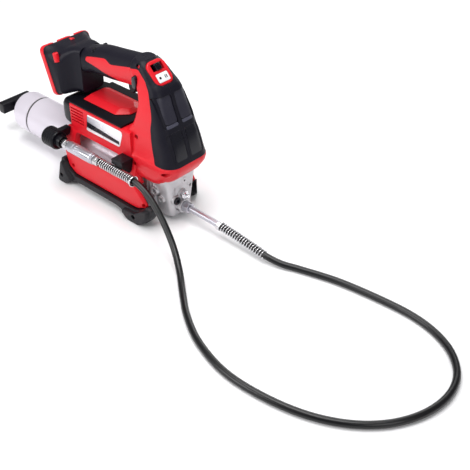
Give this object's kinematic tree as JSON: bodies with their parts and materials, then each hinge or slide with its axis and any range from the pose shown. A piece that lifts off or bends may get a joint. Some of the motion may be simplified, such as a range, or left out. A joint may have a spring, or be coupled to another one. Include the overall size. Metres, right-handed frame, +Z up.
{
  "type": "cordless grease gun",
  "caption": "Cordless grease gun: red and black motor housing with a grip on top, silver grease barrel with a pull handle, cast pump head, whip hose and locking coupler.",
  "frame": {"origin": "on the ground, under the middle of the box around the gun without its hose and coupler", "axes": "+X from the pull handle along the barrel to the pump outlet, +Z up, -Y the side that carries the coupler"},
  "size_m": [0.7941, 0.2347, 0.2111],
  "materials": {
    "red_plastic": "satin moulded plastic",
    "black_plastic": "satin moulded plastic",
    "grip_rubber": "fine-textured overmould",
    "foot_rubber": "matt rubber",
    "label": "printed film",
    "silver_barrel": "silver satin paint",
    "cast_aluminium": "die-cast, lightly blasted",
    "steel": "machined",
    "spring_steel": "bright wire",
    "chrome": "bright plated",
    "brass": "turned",
    "copper": "enamelled windings",
    "seal_rubber": "nitrile",
    "hose_rubber": "smooth satin hose cover",
    "circuit_board": "solder mask"
  },
  "bodies": {
    "root": {"right_housing": "red_plastic", "left_housing": "red_plastic", "deck_panel": "red_plastic", "battery_rim": "red_plastic", "selector_bezel": "red_plastic", "deck_cover": "black_plastic", "motor_rear_cap": "black_plastic", "battery_mount": "black_plastic", "terminal_block": "black_plastic", "coupler_holder": "black_plastic", "hose_clip": "black_plastic", "trigger_switch": "black_plastic", "head_bolt": "black_plastic", "check_valve_plug": "black_plastic", "right_grip_skin": "grip_rubber", "left_grip_skin": "grip_rubber", "right_foot_rail": "foot_rubber", "left_foot_rail": "foot_rubber", "right_label": "label", "left_label": "label", "selector_plate": "label", "pump_head": "cast_aluminium", "gear_case": "cast_aluminium", "motor_can": "steel", "rear_bearing": "steel", "front_bearing": "steel", "output_bearing": "steel", "ring_gear": "steel", "bleeder_valve": "steel", "outlet_fitting": "steel", "outlet_tube": "steel", "coupler_body": "steel", "trigger_spring": "steel", "trigger_pin": "steel", "outlet_spring_guard": "spring_steel", "coupler_spring_guard": "spring_steel", "coupler_sleeve": "chrome", "plunger_seal": "brass", "hose": "hose_rubber", "circuit_board": "circuit_board"},
    "rotor": {"rotor": "copper", "cooling_fan": "black_plastic", "sun_gear": "steel"},
    "crank": {"planet_carrier": "steel", "crank_disc": "steel"},
    "planet_1": {"planet_gear_1": "brass"},
    "planet_2": {"planet_gear_2": "brass"},
    "planet_3": {"planet_gear_3": "brass"},
    "plunger": {"plunger": "steel", "crank_yoke": "steel"},
    "trigger": {"trigger": "black_plastic"},
    "lock_button": {"lock_button": "black_plastic"},
    "speed_selector": {"speed_selector": "black_plastic"},
    "barrel": {"barrel_tube": "silver_barrel", "barrel_cap": "silver_barrel", "follower_spring": "steel"},
    "follower": {"follower_rod": "steel", "follower_piston": "seal_rubber", "pull_handle": "black_plastic"},
    "bleeder_stem": {"bleeder_stem": "brass"}
  },
  "joints": [
    {"name": "rotor_spin", "type": "hinge", "parent": "root", "child": "rotor", "pos_m": [0, 0.00925, 0.1056], "axis": [1, 0, 0], "continuous": true},
    {"name": "crank_turn", "type": "hinge", "parent": "root", "child": "crank", "pos_m": [0, 0.00925, 0.1056], "axis": [1, 0, 0], "continuous": true},
    {"name": "planet_1_spin", "type": "hinge", "parent": "crank", "child": "planet_1", "pos_m": [0.077, 0.0175, 0.1056], "axis": [1, 0, 0], "continuous": true},
    {"name": "planet_2_spin", "type": "hinge", "parent": "crank", "child": "planet_2", "pos_m": [0.077, 0.00513, 0.11274], "axis": [1, 0, 0], "continuous": true},
    {"name": "planet_3_spin", "type": "hinge", "parent": "crank", "child": "planet_3", "pos_m": [0.077, 0.00512, 0.09846], "axis": [1, 0, 0], "continuous": true},
    {"name": "plunger_stroke", "type": "slide", "parent": "root", "child": "plunger", "axis": [0, 0, 1], "range_m": [-0.008, 0.008]},
    {"name": "trigger_pull", "type": "hinge", "parent": "root", "child": "trigger", "pos_m": [0.108, 0.00925, 0.19], "axis": [0, 1, 0], "range_deg": [0, 14], "stiffness_Nm_per_rad": 1.2, "springref_deg": -8.59, "deforming": ["trigger_spring"]},
    {"name": "lock_slide", "type": "slide", "parent": "root", "child": "lock_button", "axis": [0, 1, 0], "range_m": [-0.003, 0.003]},
    {"name": "speed_slide", "type": "slide", "parent": "root", "child": "speed_selector", "axis": [0, 1, 0], "range_m": [-0.004, 0.004]},
    {"name": "barrel_unscrew", "type": "hinge", "parent": "root", "child": "barrel", "pos_m": [0, 0.00925, 0.04], "axis": [1, 0, 0], "range_deg": [0, 1080]},
    {"name": "follower_pull", "type": "slide", "parent": "barrel", "child": "follower", "axis": [-1, 0, 0], "range_m": [0, 0.19], "stiffness_N_per_m": 120, "springref_m": -0.15, "deforming": ["follower_spring"]},
    {"name": "bleeder_press", "type": "slide", "parent": "root", "child": "bleeder_stem", "axis": [-1, 0, 0], "range_m": [0, 0.002], "stiffness_N_per_m": 400, "springref_m": -0.001}
  ],
  "couplings": [
    {"joint": "crank_turn", "follows": "rotor_spin", "ratio": 0.2},
    {"joint": "planet_1_spin", "follows": "rotor_spin", "ratio": -0.53333},
    {"joint": "planet_2_spin", "follows": "rotor_spin", "ratio": -0.53333},
    {"joint": "planet_3_spin", "follows": "rotor_spin", "ratio": -0.53333}
  ]
}
